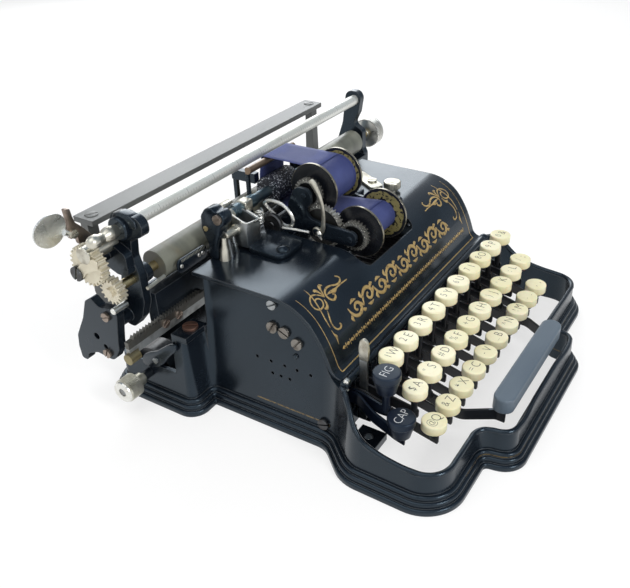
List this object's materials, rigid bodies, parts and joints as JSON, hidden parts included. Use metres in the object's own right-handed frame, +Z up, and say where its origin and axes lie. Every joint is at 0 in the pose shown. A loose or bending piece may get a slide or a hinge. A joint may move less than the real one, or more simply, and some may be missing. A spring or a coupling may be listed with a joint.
{
  "type": "typewriter",
  "caption": "Small vintage keyboard typewriter with black cast base, round cream keys, type sleeve, two ribbon spools and sliding carriage.",
  "frame": {"origin": "centre of the four base screws at table level", "axes": "+X to the typist's right, +Y to the back, +Z up"},
  "size_m": [0.3354, 0.2805, 0.1405],
  "materials": {
    "black_casting": "gloss black japan",
    "black_sheet": "gloss black japan",
    "black_tin": "satin black",
    "grey_japan": "satin dark grey",
    "steel": "bright steel",
    "blue_steel": "blued steel",
    "nickel": "worn nickel plate",
    "brass": "worn brass",
    "celluloid": "aged cream celluloid",
    "black_plastic": "gloss black",
    "black_wood": "black lacquer",
    "platen_rubber": "worn grey rubber",
    "type_rubber": "inked type rubber",
    "ribbon_cloth": "inked cotton"
  },
  "bodies": {
    "base": {"base_casting": "black_casting", "top_cover": "black_sheet", "case_fasteners": "nickel", "key_fulcrum_rod": "steel", "key_comb": "black_sheet", "sleeve_bracket": "black_sheet", "ribbon_frame": "black_sheet", "ribbon": "ribbon_cloth"},
    "key_w": {"key_w": "celluloid"},
    "key_e": {"key_e": "celluloid"},
    "key_r": {"key_r": "celluloid"},
    "key_t": {"key_t": "celluloid"},
    "key_y": {"key_y": "celluloid"},
    "key_u": {"key_u": "celluloid"},
    "key_i": {"key_i": "celluloid"},
    "key_o": {"key_o": "celluloid"},
    "key_p": {"key_p": "celluloid"},
    "key_ampersand": {"key_ampersand": "celluloid"},
    "key_a": {"key_a": "celluloid"},
    "key_s": {"key_s": "celluloid"},
    "key_d": {"key_d": "celluloid"},
    "key_f": {"key_f": "celluloid"},
    "key_g": {"key_g": "celluloid"},
    "key_h": {"key_h": "celluloid"},
    "key_j": {"key_j": "celluloid"},
    "key_k": {"key_k": "celluloid"},
    "key_l": {"key_l": "celluloid"},
    "key_semicolon": {"key_semicolon": "celluloid"},
    "key_q": {"key_q": "celluloid"},
    "key_z": {"key_z": "celluloid"},
    "key_x": {"key_x": "celluloid"},
    "key_c": {"key_c": "celluloid"},
    "key_v": {"key_v": "celluloid"},
    "key_b": {"key_b": "celluloid"},
    "key_n": {"key_n": "celluloid"},
    "key_m": {"key_m": "celluloid"},
    "key_stop": {"key_stop": "celluloid"},
    "key_comma": {"key_comma": "celluloid"},
    "fig_key": {"fig_key": "black_plastic"},
    "cap_key": {"cap_key": "black_plastic"},
    "space_bar": {"space_bar": "black_wood"},
    "universal_bar": {"universal_bar": "steel"},
    "shift_lock_lever": {"shift_lock_lever": "nickel"},
    "sleeve_shaft": {"sleeve_shaft": "blue_steel"},
    "type_sleeve": {"type_sleeve": "type_rubber"},
    "hammer": {"hammer": "steel"},
    "ribbon_drive_gear": {"ribbon_drive_gear": "steel"},
    "ribbon_spool_front": {"ribbon_spool_front": "black_tin"},
    "ribbon_spool_rear": {"ribbon_spool_rear": "black_tin"},
    "ribbon_lever": {"ribbon_lever": "brass"},
    "carriage": {"carriage_frame": "black_sheet", "carriage_end_plate": "black_sheet", "carriage_rack": "blue_steel", "scale_rod": "nickel", "paper_rest": "grey_japan"},
    "platen": {"platen": "platen_rubber", "platen_axle": "brass"},
    "line_space_gear": {"line_space_gear": "nickel"},
    "line_space_lever": {"line_space_lever": "nickel"},
    "spring_drum": {"spring_drum": "nickel"}
  },
  "joints": [
    {"name": "key_w_press", "type": "hinge", "parent": "base", "child": "key_w", "pos_m": [0, 0.036, 0.038], "axis": [1, 0, 0], "range_deg": [0, 4], "stiffness_Nm_per_rad": 0.3, "springref_deg": -11.46},
    {"name": "fig_key_press", "type": "hinge", "parent": "base", "child": "fig_key", "pos_m": [0, 0.036, 0.038], "axis": [1, 0, 0], "range_deg": [0, 4], "stiffness_Nm_per_rad": 0.4, "springref_deg": -11.46},
    {"name": "cap_key_press", "type": "hinge", "parent": "base", "child": "cap_key", "pos_m": [0, 0.036, 0.038], "axis": [1, 0, 0], "range_deg": [0, 4], "stiffness_Nm_per_rad": 0.4, "springref_deg": -11.46},
    {"name": "space_bar_press", "type": "hinge", "parent": "base", "child": "space_bar", "pos_m": [0, 0.036, 0.038], "axis": [1, 0, 0], "range_deg": [0, 3], "stiffness_Nm_per_rad": 0.8, "springref_deg": -14.32},
    {"name": "universal_bar_rock", "type": "hinge", "parent": "base", "child": "universal_bar", "pos_m": [0, 0.025, 0.024], "axis": [1, 0, 0], "range_deg": [0, 5]},
    {"name": "shift_lock_swing", "type": "hinge", "parent": "base", "child": "shift_lock_lever", "pos_m": [-0.094, -0.045, 0.021], "axis": [1, 0, 0], "range_deg": [0, 10]},
    {"name": "sleeve_shift", "type": "slide", "parent": "base", "child": "sleeve_shaft", "axis": [1, 0, 0], "range_m": [0, 0.006]},
    {"name": "type_sleeve_turn", "type": "hinge", "parent": "sleeve_shaft", "child": "type_sleeve", "pos_m": [-0.0065, 0.072, 0.112], "axis": [1, 0, 0], "continuous": true},
    {"name": "hammer_strike", "type": "hinge", "parent": "base", "child": "hammer", "pos_m": [-0.006, 0.1097, 0.056], "axis": [1, 0, 0], "range_deg": [0, 8], "stiffness_Nm_per_rad": 0.1, "springref_deg": -11.46},
    {"name": "ribbon_drive_gear_turn", "type": "hinge", "parent": "base", "child": "ribbon_drive_gear", "pos_m": [-0.022, 0.026, 0.0986], "axis": [1, 0, 0], "continuous": true},
    {"name": "ribbon_spool_front_turn", "type": "hinge", "parent": "base", "child": "ribbon_spool_front", "pos_m": [0, 0.0025, 0.0975], "axis": [1, 0, 0], "continuous": true},
    {"name": "ribbon_spool_rear_turn", "type": "hinge", "parent": "base", "child": "ribbon_spool_rear", "pos_m": [0, 0.0366, 0.1196], "axis": [1, 0, 0], "continuous": true},
    {"name": "ribbon_lever_swing", "type": "hinge", "parent": "base", "child": "ribbon_lever", "pos_m": [-0.0307, 0.026, 0.0986], "axis": [1, 0, 0], "range_deg": [-10, 10]},
    {"name": "carriage_slide", "type": "slide", "parent": "base", "child": "carriage", "axis": [1, 0, 0], "range_m": [-0.089, 0.089]},
    {"name": "platen_turn", "type": "hinge", "parent": "carriage", "child": "platen", "pos_m": [0, 0.092, 0.095], "axis": [1, 0, 0], "continuous": true},
    {"name": "line_space_gear_turn", "type": "hinge", "parent": "carriage", "child": "line_space_gear", "pos_m": [-0.15, 0.103, 0.111], "axis": [1, 0, 0], "continuous": true},
    {"name": "line_space_lever_pull", "type": "hinge", "parent": "carriage", "child": "line_space_lever", "pos_m": [-0.134, 0.11925, 0.1135], "axis": [0, 1, 0], "range_deg": [-25, 0], "stiffness_Nm_per_rad": 0.03, "springref_deg": 17.19},
    {"name": "spring_drum_turn", "type": "hinge", "parent": "base", "child": "spring_drum", "pos_m": [-0.114, 0.099, 0.019], "axis": [1, 0, 0], "range_deg": [-330, 330]},
    {"name": "key_e_press", "type": "hinge", "parent": "base", "child": "key_e", "pos_m": [0, 0.036, 0.038], "axis": [1, 0, 0], "range_deg": [0, 4], "stiffness_Nm_per_rad": 0.3, "springref_deg": -11.46},
    {"name": "key_r_press", "type": "hinge", "parent": "base", "child": "key_r", "pos_m": [0, 0.036, 0.038], "axis": [1, 0, 0], "range_deg": [0, 4], "stiffness_Nm_per_rad": 0.3, "springref_deg": -11.46},
    {"name": "key_t_press", "type": "hinge", "parent": "base", "child": "key_t", "pos_m": [0, 0.036, 0.038], "axis": [1, 0, 0], "range_deg": [0, 4], "stiffness_Nm_per_rad": 0.3, "springref_deg": -11.46},
    {"name": "key_y_press", "type": "hinge", "parent": "base", "child": "key_y", "pos_m": [0, 0.036, 0.038], "axis": [1, 0, 0], "range_deg": [0, 4], "stiffness_Nm_per_rad": 0.3, "springref_deg": -11.46},
    {"name": "key_u_press", "type": "hinge", "parent": "base", "child": "key_u", "pos_m": [0, 0.036, 0.038], "axis": [1, 0, 0], "range_deg": [0, 4], "stiffness_Nm_per_rad": 0.3, "springref_deg": -11.46},
    {"name": "key_i_press", "type": "hinge", "parent": "base", "child": "key_i", "pos_m": [0, 0.036, 0.038], "axis": [1, 0, 0], "range_deg": [0, 4], "stiffness_Nm_per_rad": 0.3, "springref_deg": -11.46},
    {"name": "key_o_press", "type": "hinge", "parent": "base", "child": "key_o", "pos_m": [0, 0.036, 0.038], "axis": [1, 0, 0], "range_deg": [0, 4], "stiffness_Nm_per_rad": 0.3, "springref_deg": -11.46},
    {"name": "key_p_press", "type": "hinge", "parent": "base", "child": "key_p", "pos_m": [0, 0.036, 0.038], "axis": [1, 0, 0], "range_deg": [0, 4], "stiffness_Nm_per_rad": 0.3, "springref_deg": -11.46},
    {"name": "key_ampersand_press", "type": "hinge", "parent": "base", "child": "key_ampersand", "pos_m": [0, 0.036, 0.038], "axis": [1, 0, 0], "range_deg": [0, 4], "stiffness_Nm_per_rad": 0.3, "springref_deg": -11.46},
    {"name": "key_a_press", "type": "hinge", "parent": "base", "child": "key_a", "pos_m": [0, 0.036, 0.038], "axis": [1, 0, 0], "range_deg": [0, 4], "stiffness_Nm_per_rad": 0.3, "springref_deg": -11.46},
    {"name": "key_s_press", "type": "hinge", "parent": "base", "child": "key_s", "pos_m": [0, 0.036, 0.038], "axis": [1, 0, 0], "range_deg": [0, 4], "stiffness_Nm_per_rad": 0.3, "springref_deg": -11.46},
    {"name": "key_d_press", "type": "hinge", "parent": "base", "child": "key_d", "pos_m": [0, 0.036, 0.038], "axis": [1, 0, 0], "range_deg": [0, 4], "stiffness_Nm_per_rad": 0.3, "springref_deg": -11.46},
    {"name": "key_f_press", "type": "hinge", "parent": "base", "child": "key_f", "pos_m": [0, 0.036, 0.038], "axis": [1, 0, 0], "range_deg": [0, 4], "stiffness_Nm_per_rad": 0.3, "springref_deg": -11.46},
    {"name": "key_g_press", "type": "hinge", "parent": "base", "child": "key_g", "pos_m": [0, 0.036, 0.038], "axis": [1, 0, 0], "range_deg": [0, 4], "stiffness_Nm_per_rad": 0.3, "springref_deg": -11.46},
    {"name": "key_h_press", "type": "hinge", "parent": "base", "child": "key_h", "pos_m": [0, 0.036, 0.038], "axis": [1, 0, 0], "range_deg": [0, 4], "stiffness_Nm_per_rad": 0.3, "springref_deg": -11.46},
    {"name": "key_j_press", "type": "hinge", "parent": "base", "child": "key_j", "pos_m": [0, 0.036, 0.038], "axis": [1, 0, 0], "range_deg": [0, 4], "stiffness_Nm_per_rad": 0.3, "springref_deg": -11.46},
    {"name": "key_k_press", "type": "hinge", "parent": "base", "child": "key_k", "pos_m": [0, 0.036, 0.038], "axis": [1, 0, 0], "range_deg": [0, 4], "stiffness_Nm_per_rad": 0.3, "springref_deg": -11.46},
    {"name": "key_l_press", "type": "hinge", "parent": "base", "child": "key_l", "pos_m": [0, 0.036, 0.038], "axis": [1, 0, 0], "range_deg": [0, 4], "stiffness_Nm_per_rad": 0.3, "springref_deg": -11.46},
    {"name": "key_semicolon_press", "type": "hinge", "parent": "base", "child": "key_semicolon", "pos_m": [0, 0.036, 0.038], "axis": [1, 0, 0], "range_deg": [0, 4], "stiffness_Nm_per_rad": 0.3, "springref_deg": -11.46},
    {"name": "key_q_press", "type": "hinge", "parent": "base", "child": "key_q", "pos_m": [0, 0.036, 0.038], "axis": [1, 0, 0], "range_deg": [0, 4], "stiffness_Nm_per_rad": 0.3, "springref_deg": -11.46},
    {"name": "key_z_press", "type": "hinge", "parent": "base", "child": "key_z", "pos_m": [0, 0.036, 0.038], "axis": [1, 0, 0], "range_deg": [0, 4], "stiffness_Nm_per_rad": 0.3, "springref_deg": -11.46},
    {"name": "key_x_press", "type": "hinge", "parent": "base", "child": "key_x", "pos_m": [0, 0.036, 0.038], "axis": [1, 0, 0], "range_deg": [0, 4], "stiffness_Nm_per_rad": 0.3, "springref_deg": -11.46},
    {"name": "key_c_press", "type": "hinge", "parent": "base", "child": "key_c", "pos_m": [0, 0.036, 0.038], "axis": [1, 0, 0], "range_deg": [0, 4], "stiffness_Nm_per_rad": 0.3, "springref_deg": -11.46},
    {"name": "key_v_press", "type": "hinge", "parent": "base", "child": "key_v", "pos_m": [0, 0.036, 0.038], "axis": [1, 0, 0], "range_deg": [0, 4], "stiffness_Nm_per_rad": 0.3, "springref_deg": -11.46},
    {"name": "key_b_press", "type": "hinge", "parent": "base", "child": "key_b", "pos_m": [0, 0.036, 0.038], "axis": [1, 0, 0], "range_deg": [0, 4], "stiffness_Nm_per_rad": 0.3, "springref_deg": -11.46},
    {"name": "key_n_press", "type": "hinge", "parent": "base", "child": "key_n", "pos_m": [0, 0.036, 0.038], "axis": [1, 0, 0], "range_deg": [0, 4], "stiffness_Nm_per_rad": 0.3, "springref_deg": -11.46},
    {"name": "key_m_press", "type": "hinge", "parent": "base", "child": "key_m", "pos_m": [0, 0.036, 0.038], "axis": [1, 0, 0], "range_deg": [0, 4], "stiffness_Nm_per_rad": 0.3, "springref_deg": -11.46},
    {"name": "key_stop_press", "type": "hinge", "parent": "base", "child": "key_stop", "pos_m": [0, 0.036, 0.038], "axis": [1, 0, 0], "range_deg": [0, 4], "stiffness_Nm_per_rad": 0.3, "springref_deg": -11.46},
    {"name": "key_comma_press", "type": "hinge", "parent": "base", "child": "key_comma", "pos_m": [0, 0.036, 0.038], "axis": [1, 0, 0], "range_deg": [0, 4], "stiffness_Nm_per_rad": 0.3, "springref_deg": -11.46}
  ],
  "couplings": [
    {"joint": "universal_bar_rock", "follows": "space_bar_press", "ratio": 1.55},
    {"joint": "sleeve_shift", "follows": "cap_key_press", "m_per_rad": 0.0859},
    {"joint": "ribbon_spool_front_turn", "follows": "ribbon_drive_gear_turn", "ratio": -1.5},
    {"joint": "ribbon_spool_rear_turn", "follows": "ribbon_drive_gear_turn", "ratio": -1.5},
    {"joint": "line_space_gear_turn", "follows": "platen_turn", "ratio": -0.625},
    {"joint": "spring_drum_turn", "follows": "carriage_slide", "rad_per_m": 64.516}
  ]
}
